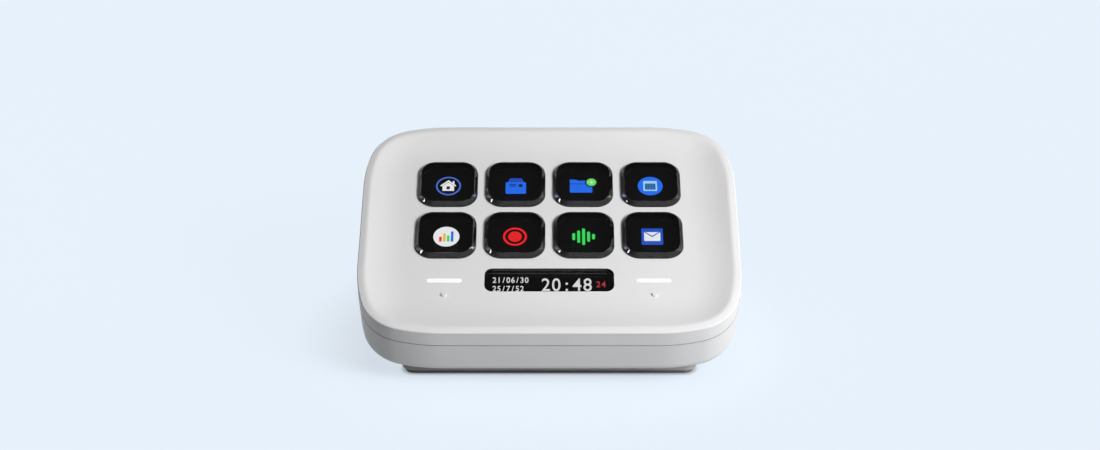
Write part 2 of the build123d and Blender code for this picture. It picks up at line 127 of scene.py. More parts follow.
def fill(node, **values):
    """Sets sockets by their names, with underscores for the spaces."""
    for name, value in values.items():
        node.inputs[name.replace("_", " ")].default_value = value


def feed(tree, socket, value):
    """Links a socket to another node's output, or sets it to a plain value."""
    if isinstance(value, bpy.types.NodeSocket):
        tree.links.new(value, socket)
    else:
        socket.default_value = value


def worked_out(tree, place, operation, *values, clamp=False):
    """The output of a Math node that is fed with these numbers and outputs."""
    node = add_node(tree, "ShaderNodeMath", place, operation=operation, use_clamp=clamp)
    for socket, value in zip(node.inputs, values):
        feed(tree, socket, value)
    return node.outputs[0]


def scaled(tree, place, colour, share):
    """A colour or a vector times a share."""
    node = add_node(tree, "ShaderNodeVectorMath", place, operation="SCALE")
    feed(tree, node.inputs[0], colour)
    feed(tree, node.inputs["Scale"], share)
    return node.outputs["Vector"]


def faded(tree, place, value, ends, levels, eased=True):
    """A level that goes from the first to the second as the value goes from end to end."""
    node = add_node(tree, "ShaderNodeMapRange", place)
    node.interpolation_type = "SMOOTHSTEP" if eased else "LINEAR"
    fill(node, From_Min=ends[0], From_Max=ends[1], To_Min=levels[0], To_Max=levels[1])
    tree.links.new(value, node.inputs["Value"])
    return node.outputs["Result"]


def on_object(tree, place):
    """The place on the object's own solid, which a pattern follows."""
    return add_node(tree, "ShaderNodeTexCoord", place).outputs["Object"]


def cloudy(tree, place, where, scale, detail, roughness=0.5):
    """Noise of this scale, from 0 to 1."""
    node = add_node(tree, "ShaderNodeTexNoise", place)
    fill(node, Detail=detail, Roughness=roughness)
    feed(tree, node.inputs["Scale"], scale)
    tree.links.new(where, node.inputs["Vector"])
    return node.outputs["Fac"]


def either(tree, place, share, first, second):
    """The output of a shader that goes from the first to the second as the share goes up."""
    node = add_node(tree, "ShaderNodeMixShader", place)
    tree.links.new(share, node.inputs["Fac"])
    tree.links.new(first, node.inputs[1])
    tree.links.new(second, node.inputs[2])
    return node.outputs["Shader"]


def seen_by_eye(tree, place):
    """One where the camera, a reflection or a look through clear plastic sees it, and else zero."""
    left, height = place
    rays = add_node(tree, "ShaderNodeLightPath", place).outputs
    straight = worked_out(
        tree, (left + 200, height), "ADD", rays["Is Camera Ray"], rays["Is Glossy Ray"]
    )
    return worked_out(
        tree, (left + 400, height), "ADD", straight, rays["Is Transmission Ray"], clamp=True
    )


# ---------------------------------------------------------------- finishes
GRAIN_SIZE = 0.0003
GRAIN_DEPTH = 6 * MICRON
GRAIN_SHARE = 0.35  # how much the grain moves the tone beside the slow drift
DRIFT_SCALE = 55.0


def group_of(name, inputs, outputs):
    """An empty shader node group with these sockets, and its two end nodes."""
    tree = bpy.data.node_groups.new(name, "ShaderNodeTree")
    for label, kind, value in inputs:
        socket = tree.interface.new_socket(name=label, in_out="INPUT", socket_type=kind)
        socket.default_value = value
    for label, kind in outputs:
        tree.interface.new_socket(name=label, in_out="OUTPUT", socket_type=kind)
    start = add_node(tree, "NodeGroupInput", (-900, 0))
    end = add_node(tree, "NodeGroupOutput", (600, 0))
    return tree, start.outputs, end.inputs


def moulded_grain():
    """Spark-eroded mould texture: a fine grain in height, a slow drift in tone, and their sheen."""
    if "moulded_grain" in bpy.data.node_groups:
        return bpy.data.node_groups["moulded_grain"]
    tree, start, end = group_of(
        "moulded_grain",
        [
            ("Grain Size", "NodeSocketFloat", GRAIN_SIZE),
            ("Tone", "NodeSocketColor", (0.8, 0.8, 0.8, 1)),
            ("Tone Drift", "NodeSocketFloat", 0.03),
            ("Roughness", "NodeSocketFloat", 0.5),
            ("Roughness Drift", "NodeSocketFloat", 0.08),
        ],
        [
            ("Color", "NodeSocketColor"),
            ("Roughness", "NodeSocketFloat"),
            ("Height", "NodeSocketFloat"),
        ],
    )
    where = on_object(tree, (-900, -320))
    count = worked_out(tree, (-700, 100), "DIVIDE", 1.0, start["Grain Size"])
    grain = cloudy(tree, (-480, 100), where, count, 3.0, 0.6)
    drift = cloudy(tree, (-480, -220), where, DRIFT_SCALE, 2.0)

    # the drift and a little of the grain move the tone up and down by a small share
    both = worked_out(tree, (-280, -60), "MULTIPLY_ADD", grain, GRAIN_SHARE, drift)
    centred = worked_out(tree, (-110, -60), "SUBTRACT", both, (1 + GRAIN_SHARE) / 2)
    share = worked_out(tree, (50, -20), "MULTIPLY_ADD", centred, start["Tone Drift"], 1.0)
    sheen = worked_out(
        tree, (230, -160), "MULTIPLY_ADD", centred, start["Roughness Drift"], start["Roughness"]
    )
    tree.links.new(scaled(tree, (230, 60), start["Tone"], share), end["Color"])
    tree.links.new(sheen, end["Roughness"])
    tree.links.new(grain, end["Height"])
    return tree


def new_material(name):
    """A material with an empty Principled shader wired to its output."""
    material = bpy.data.materials.new(name)
    material.use_nodes = True
    tree = material.node_tree
    tree.nodes.clear()
    shader = add_node(tree, "ShaderNodeBsdfPrincipled", (100, 0))
    output = add_node(tree, "ShaderNodeOutputMaterial", (420, 0))
    tree.links.new(shader.outputs["BSDF"], output.inputs["Surface"])
    return material, tree, shader


def moulded(
    name, tone, roughness, grain_size=GRAIN_SIZE, depth=GRAIN_DEPTH, drift=0.03, gloss_drift=0.08,
    **sockets,
):
    """A grained finish: the tone and sheen drift slowly, and the grain stands up by its depth."""
    material, tree, shader = new_material(name)
    grain = add_node(tree, "ShaderNodeGroup", (-420, 0), node_tree=moulded_grain())
    fill(grain, Grain_Size=grain_size, Tone=tone, Tone_Drift=drift)
    fill(grain, Roughness=roughness, Roughness_Drift=gloss_drift)
    bump = add_node(tree, "ShaderNodeBump", (-160, -220))
    fill(bump, Strength=1.0, Distance=depth)
    tree.links.new(grain.outputs["Color"], shader.inputs["Base Color"])
    tree.links.new(grain.outputs["Roughness"], shader.inputs["Roughness"])
    tree.links.new(grain.outputs["Height"], bump.inputs["Height"])
    tree.links.new(bump.outputs["Normal"], shader.inputs["Normal"])
    fill(shader, **sockets)
    return material


def clear_plastic(name, tint, bend, roughness):
    """Polished clear plastic with faint handling marks. Lamps shine through it on what is below."""
    material, tree, shader = new_material(name)
    marks = cloudy(tree, (-500, -100), on_object(tree, (-700, -100)), 160.0, 3.0, 0.6)
    haze = faded(
        tree, (-280, -100), marks, (0.45, 0.75), (roughness, 3 * roughness), eased=False
    )
    tree.links.new(haze, shader.inputs["Roughness"])
    fill(shader, Base_Color=tint, IOR=bend, Transmission_Weight=1.0)
    rays = add_node(tree, "ShaderNodeLightPath", (100, 320))
    open_way = add_node(tree, "ShaderNodeBsdfTransparent", (100, -420))
    fill(open_way, Color=tint)
    choice = either(
        tree, (420, 160), rays.outputs["Is Shadow Ray"], shader.outputs["BSDF"],
        open_way.outputs["BSDF"],
    )
    output = tree.nodes["Material Output"]
    output.location = (640, 160)
    tree.links.new(choice, output.inputs["Surface"])
    return material


def lit(name, tone, strength, cloud, lowest, **sockets):
    """A surface that glows in this tone, with the fine unevenness of the light behind it."""
    material, tree, shader = new_material(name)
    noise = cloudy(tree, (-700, -100), on_object(tree, (-900, -100)), *cloud)
    level = faded(tree, (-480, -100), noise, (0.3, 0.7), (lowest, 1.0), eased=False)
    tree.links.new(scaled(tree, (-250, -100), tone[:3], level), shader.inputs["Emission Color"])
    fill(shader, Emission_Strength=strength, **sockets)
    return material


# ---------------------------------------------------------------- dressing the solids
def smooth_faces(solid, angle):
    """Shades a solid smoothly across its seams up to this angle, and keeps its flat faces flat."""
    solid.data.polygons.foreach_set("use_smooth", [True] * len(solid.data.polygons))
    weld = solid.modifiers.new("join_facets", "WELD")
    weld.merge_threshold = SEAM
    split = solid.modifiers.new("keep_edges", "EDGE_SPLIT")
    split.split_angle = angle
    split.use_edge_sharp = False
    even = solid.modifiers.new("even_shading", "WEIGHTED_NORMAL")
    even.mode = "FACE_AREA"
    even.weight = 50


def round_edges(names, width):
    """Rounds the edges of polished solids by this much, so that they catch the light."""
    for name in names:
        modifiers = frame["nodes"][name].modifiers
        rounding = modifiers.new("round_edges", "BEVEL")
        rounding.width = width
        rounding.segments = ROUNDING_STEPS
        rounding.limit_method = "ANGLE"
        rounding.angle_limit = ROUNDED_ANGLE
        modifiers.move(len(modifiers) - 1, 1)  # right after the facets are joined


def dress(names, *materials, angle=MOULDED_ANGLE):
    """Gives these solids their materials and smooth shading."""
    for name in names:
        solid = frame["nodes"][name]
        solid.data.materials.clear()
        for material in materials:
            solid.data.materials.append(material)
        solid.data.polygons.foreach_set("material_index", [0] * len(solid.data.polygons))
        smooth_faces(solid, angle)


def paint_faces(name, chosen, paint=1):
    """Gives one of a solid's materials to the faces whose corners, in the face's frame, fit."""
    solid = frame["nodes"][name].data
    to_face = FACE.inverted()
    for flat in solid.polygons:
        if chosen([to_face @ solid.vertices[corner].co for corner in flat.vertices]):
            flat.material_index = paint


def new_piece(name, shape, materials, body="housing"):
    """Makes an object of a finished bmesh whose place is in its mesh, and puts it on a body."""
    mesh = bpy.data.meshes.new(name)
    shape.to_mesh(mesh)
    shape.free()
    for material in materials:
        mesh.materials.append(material)
    piece = bpy.data.objects.new(name, mesh)
    bpy.context.scene.collection.objects.link(piece)
    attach(piece, body)
    return piece


# ---------------------------------------------------------------- flat shapes on a panel, in mm
LAYER_STEP = 0.05
LAYER_THICKNESS = 0.04
CORNER_STEPS = 6
FIGURE_WEIGHT = 0.03
FIGURE_NARROWNESS = 0.8


def raise_shape(shape, faces, layer, paint):
    """Gives flat new faces their layer, their paint and a closed thickness."""
    for flat in faces:
        flat.material_index = paint
    corners = list(dict.fromkeys(corner for flat in faces for corner in flat.verts))
    bmesh.ops.translate(shape, verts=corners, vec=(0, 0, layer * LAYER_STEP))
    grown = bmesh.ops.extrude_face_region(shape, geom=faces, use_keep_orig=True)
    tops = [part for part in grown["geom"] if isinstance(part, bmesh.types.BMVert)]
    bmesh.ops.translate(shape, verts=tops, vec=(0, 0, LAYER_THICKNESS))


def round_face(shape, centre, radius, sides):
    """A flat round face, not yet raised."""
    made = bmesh.ops.create_circle(
        shape, cap_ends=True, radius=radius, segments=sides,
        matrix=Matrix.Translation((*centre, 0)),
    )
    return list(dict.fromkeys(flat for corner in made["verts"] for flat in corner.link_faces))


def add_disc(shape, centre, radius, layer, paint):
    """A round spot."""
    raise_shape(shape, round_face(shape, centre, radius, 56), layer, paint)


def add_ring(shape, centre, radius, width, layer, paint):
    """A round line of this outer radius and width."""
    disc = round_face(shape, centre, radius, 64)
    border = bmesh.ops.inset_region(
        shape, faces=disc, thickness=width, use_even_offset=True, use_boundary=True
    )["faces"]
    bmesh.ops.delete(shape, geom=disc, context="FACES_ONLY")
    raise_shape(shape, border, layer, paint)


def add_bar(shape, centre, size, corner, layer, paint):
    """A rectangle with rounded corners."""
    before = set(shape.faces)
    made = bmesh.ops.create_grid(
        shape, x_segments=1, y_segments=1, size=0.5,
        matrix=Matrix.Translation((*centre, 0)) @ Matrix.Diagonal((*size, 1, 1)),
    )
    if corner:
        bmesh.ops.bevel(
            shape, geom=made["verts"], offset=corner, segments=CORNER_STEPS, profile=0.5,
            affect="VERTICES", material=-1,
        )
    raise_shape(shape, [flat for flat in shape.faces if flat not in before], layer, paint)


def add_outline(shape, points, layer, paint):
    """A flat shape with straight sides through these points."""
    corners = [shape.verts.new((*point, 0)) for point in points]
    raise_shape(shape, [shape.faces.new(corners)], layer, paint)


def finish_flat(shape, centre, height):
    """Moves a flat drawing from its own middle to its place on the slope."""
    bmesh.ops.recalc_face_normals(shape, faces=shape.faces)
    place = FACE @ Matrix.Translation((*centre, height))
    bmesh.ops.transform(shape, matrix=place, verts=shape.verts)

    # the faces' order differs from run to run, so they are put in the order of their corners
    shape.verts.index_update()
    ordered = sorted(shape.faces, key=lambda flat: sorted(corner.index for corner in flat.verts))
    for number, flat in enumerate(ordered):
        flat.index = number
    shape.faces.sort()


def add_figures(shape, words, size, left, base, pitch, paint):
    """Lit figures, each centred on an equal step, from this left edge and on this base line."""
    curve = bpy.data.curves.new("figures", "FONT")
    curve.size = size
    curve.offset = FIGURE_WEIGHT
    curve.extrude = LAYER_THICKNESS / 2
    curve.align_x = "CENTER"
    holder = bpy.data.objects.new("figures", curve)
    bpy.context.scene.collection.objects.link(holder)
    before = set(shape.faces)
    for step, figure in enumerate(words):
        curve.body = figure
        bpy.context.view_layer.update()
        graph = bpy.context.evaluated_depsgraph_get()
        mesh = bpy.data.meshes.new_from_object(holder.evaluated_get(graph))
        place = Matrix.Translation((left + (step + 0.5) * pitch, base, LAYER_THICKNESS / 2))
        mesh.transform(place @ Matrix.Diagonal((FIGURE_NARROWNESS, 1, 1, 1)))
        shape.from_mesh(mesh)
        bpy.data.meshes.remove(mesh)
    bpy.data.objects.remove(holder)
    bpy.data.curves.remove(curve)
    for flat in shape.faces:
        if flat not in before:
            flat.material_index = paint


# ---------------------------------------------------------------- screens
SCREEN_COLOURS = {
    "white": (250, 250, 250),
    "blue": (26, 112, 250),
    "lid": (28, 78, 196),
    "plate": (24, 84, 208),
    "ring": (72, 112, 214),
    "page": (170, 226, 255),
    "page_blue": (58, 134, 216),
    "green": (60, 232, 96),
    "badge": (112, 236, 112),
    "badge_plus": (206, 255, 196),
    "red": (248, 24, 28),
    "dull_red": (206, 62, 72),
    "yellow": (246, 200, 40),
    "ink": (14, 34, 84),
    "black": (2, 2, 3),
}
SCREEN_CLOUD = (900.0, 2.0)  # scale and detail of the screens' unevenness
BAR_CLOUD = (500.0, 1.0)

# each line of figures: its setting, size, left edge, base line, step in mm, and colour
WINDOW_FIGURES = (
    ("big_figures", 6.5, -2.4, -28.35, 2.9, "white"),
    ("upper_figures", 2.75, -15.9, -25.4, 1.28, "white"),
    ("lower_figures", 2.75, -15.9, -28.5, 1.28, "white"),
    ("side_figures", 3.0, 12.9, -27.0, 1.5, "dull_red"),
)


def screen_palette(strength):
    """The lit colours, and the place of each name in their list."""
    paints = [
        lit(
            f"screen_{name}", shade(*tone), strength, SCREEN_CLOUD, 0.93,
            Base_Color=(0.01, 0.01, 0.01, 1), Roughness=0.4,
        )
        for name, tone in SCREEN_COLOURS.items()
    ]
    return paints, {name: place for place, name in enumerate(SCREEN_COLOURS)}


def house_icon(shape, ink):
    """A white house in a blue ring."""
    roof = [(-2.35, 0.2), (0, 2.3), (2.25, 0.2), (2.0, -0.15), (0, 1.65), (-2.1, -0.15)]
    walls = [(-1.7, -1.85), (1.65, -1.85), (1.65, 0.0), (0, 1.4), (-1.7, 0.0)]
    add_ring(shape, (0, 0), 3.62, 0.5, 0, ink["ring"])
    add_outline(shape, roof, 0, ink["white"])
    add_outline(shape, walls, 0, ink["white"])
    add_bar(shape, (1.45, 1.35), (0.5, 1.1), 0, 0, ink["white"])
    add_bar(shape, (-0.05, -0.75), (0.95, 1.15), 0.1, 1, ink["black"])


def box_icon(shape, ink):
    """A blue card file with a darker lid and two lines."""
    lid = [(-2.3, 1.4), (2.35, 1.4), (1.8, 3.0), (-1.7, 3.0)]
    add_outline(shape, lid, 0, ink["lid"])
    add_bar(shape, (0.05, -0.8), (5.9, 4.5), 0.35, 1, ink["blue"])
    for height in (0.5, -0.1):
        add_bar(shape, (-0.85, height), (2.0, 0.3), 0.1, 2, ink["ink"])
    add_disc(shape, (1.4, 0.1), 0.62, 2, ink["ink"])


def folder_icon(shape, ink):
    """A blue folder with a green badge that holds a plus."""
    back = [(-3.8, 0.95), (2.7, 0.95), (2.7, 2.1), (-1.3, 2.1), (-2.1, 2.5), (-3.8, 2.5)]
    badge = (2.45, 1.4)
    add_outline(shape, back, 0, ink["blue"])
    add_bar(shape, (-0.55, -0.9), (6.5, 3.3), 0.3, 0, ink["blue"])
    add_disc(shape, badge, 1.8, 1, ink["black"])
    add_disc(shape, badge, 1.42, 2, ink["badge"])
    for size in ((1.3, 0.35), (0.35, 1.3)):
        add_bar(shape, badge, size, 0.1, 3, ink["badge_plus"])


def calendar_icon(shape, ink):
    """A pale calendar page on a blue disc."""
    add_disc(shape, (0, 0), 3.6, 0, ink["blue"])
    add_bar(shape, (0, 0), (4.0, 3.9), 0.35, 1, ink["page"])
    add_bar(shape, (0, -0.3), (3.1, 2.4), 0.15, 2, ink["page_blue"])
    for column in (-1.15, -0.4, 0.4, 1.15):
        add_bar(shape, (column, -0.3), (0.42, 1.9), 0.08, 3, ink["ink"])
    for row in (-0.75, 0.15):
        add_bar(shape, (0, row), (3.1, 0.2), 0, 4, ink["page_blue"])


def chart_icon(shape, ink):
    """A bar chart in four colours on a white disc."""
    bars = ((1.8, "red"), (3.0, "yellow"), (2.3, "green"), (3.8, "blue"))
    add_disc(shape, (0, 0), 3.7, 0, ink["white"])
    for place, (height, tone) in enumerate(bars):
        centre = (-1.65 + place * 1.1, -1.9 + height / 2)
        add_bar(shape, centre, (0.75, height), 0.12, 1, ink[tone])


def record_icon(shape, ink):
    """A red recording dot in its ring."""
    add_ring(shape, (0, 0), 3.4, 0.65, 0, ink["red"])
    add_disc(shape, (0, 0), 1.95, 0, ink["red"])


def level_icon(shape, ink):
    """Five green sound level bars."""
    for place, height in enumerate((2.6, 4.6, 6.2, 3.8, 2.0)):
        add_bar(shape, (-2.8 + place * 1.4, 0), (0.85, height), 0.4, 0, ink["green"])


def letter_icon(shape, ink):
    """A white envelope on a blue plate."""
    fold = [(-2.2, 1.55), (-1.85, 1.6), (0, 0.2), (1.85, 1.6), (2.2, 1.55), (0, -0.3)]
    add_bar(shape, (0, 0), (6.1, 6.1), 0.3, 0, ink["plate"])
    add_bar(shape, (0, 0), (4.6, 3.3), 0.25, 1, ink["white"])
    add_outline(shape, fold, 2, ink["plate"])


ICONS = (
    house_icon,
    box_icon,
    folder_icon,
    calendar_icon,
    chart_icon,
    record_icon,
    level_icon,
    letter_icon,
)


# ---------------------------------------------------------------- settings
class KeypadHousing(bpy.types.PropertyGroup):
    """The moulded shells and the stand."""

    tone: bpy.props.FloatVectorProperty(
        name="Colour", description="Colour of the moulded plastic",
        subtype="COLOR", size=4, min=0, max=1, default=shade(231, 231, 232),
    )
    # painted shade: the stand's grey is darker than the housing's pale plastic, standing in for the
    # shade under the body
    stand_shaded_tone: bpy.props.FloatVectorProperty(
        name="Stand", description="Colour of the stand's plastic",
        subtype="COLOR", size=4, min=0, max=1, default=shade(185, 184, 183),
    )
    roughness: bpy.props.FloatProperty(
        name="Roughness", description="How matt the plastic is",
        subtype="FACTOR", min=0, max=1, default=0.5,
    )
    grain: bpy.props.FloatProperty(
        name="Grain", description="Size of the mould texture's grain",
        unit="LENGTH", min=0.00005, default=0.00035,
    )


class KeypadKeys(bpy.types.PropertyGroup):
    """The clear key caps."""

    tint: bpy.props.FloatVectorProperty(
        name="Tint", description="Colour of the clear plastic",
        subtype="COLOR", size=4, min=0, max=1, default=(0.94, 0.95, 0.96, 1),
    )
    bend: bpy.props.FloatProperty(
        name="Refraction", description="Index of refraction of the clear plastic",
        min=1.3, max=1.8, default=1.585,
    )
    picture_lift: bpy.props.FloatProperty(
        name="Picture place",
        description="How far up the slope each picture sits from its key's middle, in mm",
        default=1.18,
    )


class KeypadScreens(bpy.types.PropertyGroup):
    """What the screens and the touch bars show."""

    brightness: bpy.props.FloatProperty(
        name="Brightness", description="Strength of the lit pictures and figures",
        min=0, default=1.0,
    )
    bar_brightness: bpy.props.FloatProperty(
        name="Touch bars", description="Strength of the touch bars", min=0, default=0.85
    )
    big_figures: bpy.props.StringProperty(
        name="Large figures", description="The large figures in the window", default="20:48"
    )
    upper_figures: bpy.props.StringProperty(
        name="Upper figures", description="The small figures at the upper left",
        default="21/06/30",
    )
    lower_figures: bpy.props.StringProperty(
        name="Lower figures", description="The small figures at the lower left",
        default="25/7/52",
    )
    side_figures: bpy.props.StringProperty(
        name="Side figures", description="The red figures at the right", default="24"
    )


class KeypadStudio(bpy.types.PropertyGroup):
    """The floor, the lamps and the camera."""

    floor_tone: bpy.props.FloatVectorProperty(
        name="Floor", description="Colour of the floor and the background",
        subtype="COLOR", size=4, min=0, max=1, default=shade(233, 243, 253),
    )
    key_power: bpy.props.FloatProperty(
        name="Key lamp", description="Power of the soft lamp at the front right",
        unit="POWER", min=0, default=4.15,
    )
    top_power: bpy.props.FloatProperty(
        name="Top lamp", description="Power of the soft lamp overhead",
        unit="POWER", min=0, default=0.8,
    )
    glint_power: bpy.props.FloatProperty(
        name="Glint lamp", description="Power of the small lamp far at the left",
        unit="POWER", min=0, default=1.3,
    )
    fill_strength: bpy.props.FloatProperty(
        name="Fill", description="Strength of the room's own light", min=0, default=0.04
    )
    back_strength: bpy.props.FloatProperty(
        name="Back light", description="Strength of the low light from behind the keypad",
        min=0, default=1.9,
    )
    camera_lens: bpy.props.FloatProperty(
        name="Lens", description="Focal length, in mm on a 36 mm sensor", min=10, default=71.67
    )
    camera_distance: bpy.props.FloatProperty(
        name="Distance", description="From the camera to the face",
        unit="LENGTH", min=0.1, default=0.625,
    )
    camera_height: bpy.props.FloatProperty(
        name="Elevation", description="The camera's angle above the horizon",
        subtype="ANGLE", default=math.radians(23.4),
    )


# ---------------------------------------------------------------- the pieces
PLAIN, DARK, PARTING_SHADE = 0, 1, 2  # a shell's materials by their place: plain plastic, painted shade on the openings' walls, painted shade in the parting gap


def in_dark_opening(places):
    """Whether these corners on the face's frame are on the wall of a key's or the window's hole."""
    upright = max(place.z for place in places) - min(place.z for place in places) > FACE_WALL / 2
    on_wall = all(-FACE_WALL - HAIR < place.z < HAIR for place in places)
    at_keys = all(abs(place.x) < 2 * KEY_PITCH and abs(place.y) < KEY_PITCH for place in places)
    at_window = all(
        abs(place.x) < WINDOW_REACH and WINDOW_LOW < place.y < WINDOW_HIGH for place in places
    )
    return upright and on_wall and (at_keys or at_window)


def in_parting_gap(places):
    """Whether these corners on the face's frame are on the parting line's ledges or tongue."""
    low, high = min(place.z for place in places), max(place.z for place in places)
    ledge = low > PARTING_BOTTOM - SLACK
    tongue = low > PARTING_TONGUE - SLACK and high > PARTING_TOP - SLACK
    return high < PARTING_TOP + SLACK and (ledge or tongue)


def on_key_side(places):
    """Whether these corners on the face's frame are on a key's side or its flange's top."""
    low, high = min(place.z for place in places), max(place.z for place in places)
    return low < -2 * SLACK and high > KEY_BOTTOM + 2 * SLACK


class KEYPAD_OT_housing(bpy.types.Operator):
    """Finish the shells in pale plastic with painted shade in the openings and the parting gap, and
    the stand in a grey darkened as painted shade
    """

    bl_idname = "keypad.housing"
    bl_label = "Housing"

    def execute(self, context):
        settings = context.scene.keypad_housing
        grain = settings.grain
        plastic = moulded(
            "housing_plastic", tuple(settings.tone), settings.roughness, grain, IOR=1.46
        )
        # painted shade: the walls of the key holes and the window's hole are near-black, standing
        # in for the shade in these recesses
        dark = moulded("opening_paint", (0.012, 0.012, 0.013, 1), 0.6, 0.0002)
        # painted shade: the parting line's ledges and tongue are a mid grey standing in for the
        # shade in the gap between the shells
        grey = moulded("parting_gap_paint", shade(150, 150, 151), 0.6, grain)
        dress(["top_housing", "bottom_housing"], plastic, dark, grey)
        paint_faces("top_housing", in_dark_opening, DARK)
        paint_faces("top_housing", in_parting_gap, PARTING_SHADE)
        paint_faces("bottom_housing", in_parting_gap, PARTING_SHADE)
        # the stand's darker grey is painted shade from the overhanging body
        dress(["stand"], moulded("stand_plastic", tuple(settings.stand_shaded_tone), 0.55, grain))
        return {"FINISHED"}


class KEYPAD_OT_keys(bpy.types.Operator):
    """Finish the key caps in clear polished plastic with black sides"""

    bl_idname = "keypad.keys"
    bl_label = "Key caps"

    def execute(self, context):
        settings = context.scene.keypad_keys
        clear = clear_plastic("key_clear_plastic", tuple(settings.tint), settings.bend, 0.006)
        black = moulded(
            "key_side_paint", (0.002, 0.002, 0.002, 1), 0.5, 0.0002, 2 * MICRON, drift=0.2
        )
        dress(KEY_CAPS, clear, black, angle=CLEAR_ANGLE)
        for name in KEY_CAPS:
            paint_faces(name, on_key_side, DARK)
        round_edges(KEY_CAPS, CAP_ROUNDING)
        return {"FINISHED"}


class KEYPAD_OT_icons(bpy.types.Operator):
    """Draw the eight lit pictures on the key display"""

    bl_idname = "keypad.icons"
    bl_label = "Key pictures"

    def execute(self, context):
        lift = context.scene.keypad_keys.picture_lift
        paints, ink = screen_palette(context.scene.keypad_screens.brightness)
        for number, draw in enumerate(ICONS):
            column, row = number % 4, number // 4
            centre = ((column - 1.5) * KEY_PITCH, (0.5 - row) * KEY_PITCH + lift)
            shape = bmesh.new()
            draw(shape, ink)
            finish_flat(shape, centre, KEY_PANEL + LAYER_STEP)
            new_piece(f"key_picture_{number + 1}", shape, paints)
        return {"FINISHED"}


class KEYPAD_OT_window(bpy.types.Operator):
    """Finish the information window's lens and draw the figures on its display"""

    bl_idname = "keypad.window"
    bl_label = "Information window"

    def execute(self, context):
        settings = context.scene.keypad_screens
        bend = context.scene.keypad_keys.bend
        lens = clear_plastic("window_smoked", (0.80, 0.80, 0.81, 1), bend, 0.004)
        dress(["info_lens"], lens, angle=CLEAR_ANGLE)
        round_edges(["info_lens"], LENS_ROUNDING)
        paints, ink = screen_palette(settings.brightness)
        shape = bmesh.new()
        for setting, size, left, base, pitch, tone in WINDOW_FIGURES:
            add_figures(shape, getattr(settings, setting), size, left, base, pitch, ink[tone])
        finish_flat(shape, (0, 0), INFO_PANEL + LAYER_STEP)
        new_piece("window_figures", shape, paints)
        return {"FINISHED"}


class KEYPAD_OT_touch_bars(bpy.types.Operator):
    """Light the two touch bars"""

    bl_idname = "keypad.touch_bars"
    bl_label = "Touch bars"

    def execute(self, context):
        strength = context.scene.keypad_screens.bar_brightness
        glow = lit(
            "touch_bar_light", (1, 1, 1), strength, BAR_CLOUD, 0.92,
            Base_Color=(0.2, 0.2, 0.2, 1), Roughness=0.35,
        )
        dress(["touch_light_left", "touch_light_right"], glow)
        return {"FINISHED"}


class KEYPAD_OT_foot(bpy.types.Operator):
    """Finish the rubber foot"""

    bl_idname = "keypad.foot"
    bl_label = "Rubber foot"

    def execute(self, context):
        rubber = moulded(
            "foot_rubber", (0.19, 0.19, 0.193, 1), 0.75, 0.0005, 20 * MICRON,
            drift=0.2, gloss_drift=0.12,
        )
        dress(["rubber_foot"], rubber)
        return {"FINISHED"}


# the inner parts: solids, finish, tone, roughness, grain size and depth, and what else differs
INNER_FINISHES = (
    (["key_display", "info_display"], "display_black_glass", (0.0015, 0.0015, 0.0018, 1),
     0.12, 0.001, 0.2 * MICRON, dict(drift=0.1, gloss_drift=0.05, Specular_IOR_Level=0.15)),
    (["key_sheet"], "silicone_dark", (0.002, 0.002, 0.002, 1),
     0.6, 0.0004, 10 * MICRON, dict(drift=0.15, Specular_IOR_Level=0.1)),
    (["contact_sheet"], "contact_film", (0.002, 0.002, 0.002, 1),
     0.4, 0.0006, 4 * MICRON, dict(drift=0.15, Specular_IOR_Level=0.1)),
    (["display_cable", "front_cable"], "cable_film", (0.35, 0.14, 0.03, 1),
     0.35, 0.0008, 4 * MICRON, dict(drift=0.15)),
    (["key_backlight"], "backlight_tray", (0.62, 0.63, 0.65, 1),
     0.35, 0.0004, 4 * MICRON, dict(drift=0.08, Metallic=1.0)),
    (["display_carrier"], "carrier_plastic", (0.03, 0.03, 0.033, 1),
     0.5, 0.0004, GRAIN_DEPTH, {}),
    (["main_board", "touch_board"], "board_mask", (0.01, 0.11, 0.05, 1),
     0.35, 0.0008, 4 * MICRON, dict(drift=0.2)),
    (["processor", "memory_chip", "display_socket", "front_socket", "usb_c_tongue"],
     "chip_epoxy", (0.015, 0.015, 0.016, 1), 0.55, 0.0003, 6 * MICRON, dict(drift=0.2)),
    (["touch_leds"], "diode_body", (0.85, 0.80, 0.55, 1),
     0.3, 0.0004, GRAIN_DEPTH, {}),
    (["carrier_screws", "board_screws", "housing_screws", "stand_screws"],
     "screw_zinc", (0.52, 0.53, 0.55, 1),
     0.32, 0.0003, 6 * MICRON, dict(drift=0.15, gloss_drift=0.15, Metallic=1.0)),
    (["usb_c_shell"], "connector_nickel", (0.62, 0.61, 0.58, 1),
     0.25, 0.0005, 4 * MICRON, dict(drift=0.1, gloss_drift=0.12, Metallic=1.0)),
    (["base_weight"], "weight_steel", (0.32, 0.32, 0.33, 1),
     0.45, 0.0006, 10 * MICRON, dict(drift=0.2, gloss_drift=0.15, Metallic=1.0)),
)


class KEYPAD_OT_insides(bpy.types.Operator):
    """Finish the displays, boards, sheets, cables, screws and the connector"""

    bl_idname = "keypad.insides"
    bl_label = "Inner parts"

    def execute(self, context):
        for solids, name, tone, roughness, grain_size, depth, others in INNER_FINISHES:
            dress(solids, moulded(name, tone, roughness, grain_size, depth, **others))
        return {"FINISHED"}


# ---------------------------------------------------------------- the studio
KEY_LAMP = (0.38, -0.35, 0.34)
KEY_LAMP_SIZE = 0.30
TOP_LAMP = (0.10, 0.05, 0.80)
TOP_LAMP_SIZE = 0.60
LAMP_AIM = (0.0, 0.0, 0.03)
GLINT_LAMP = (-0.86, -0.38, 0.34)
GLINT_LAMP_SIZE = 0.15
GLINT_LAMP_AIM = (0.0, 0.0, 0.04)

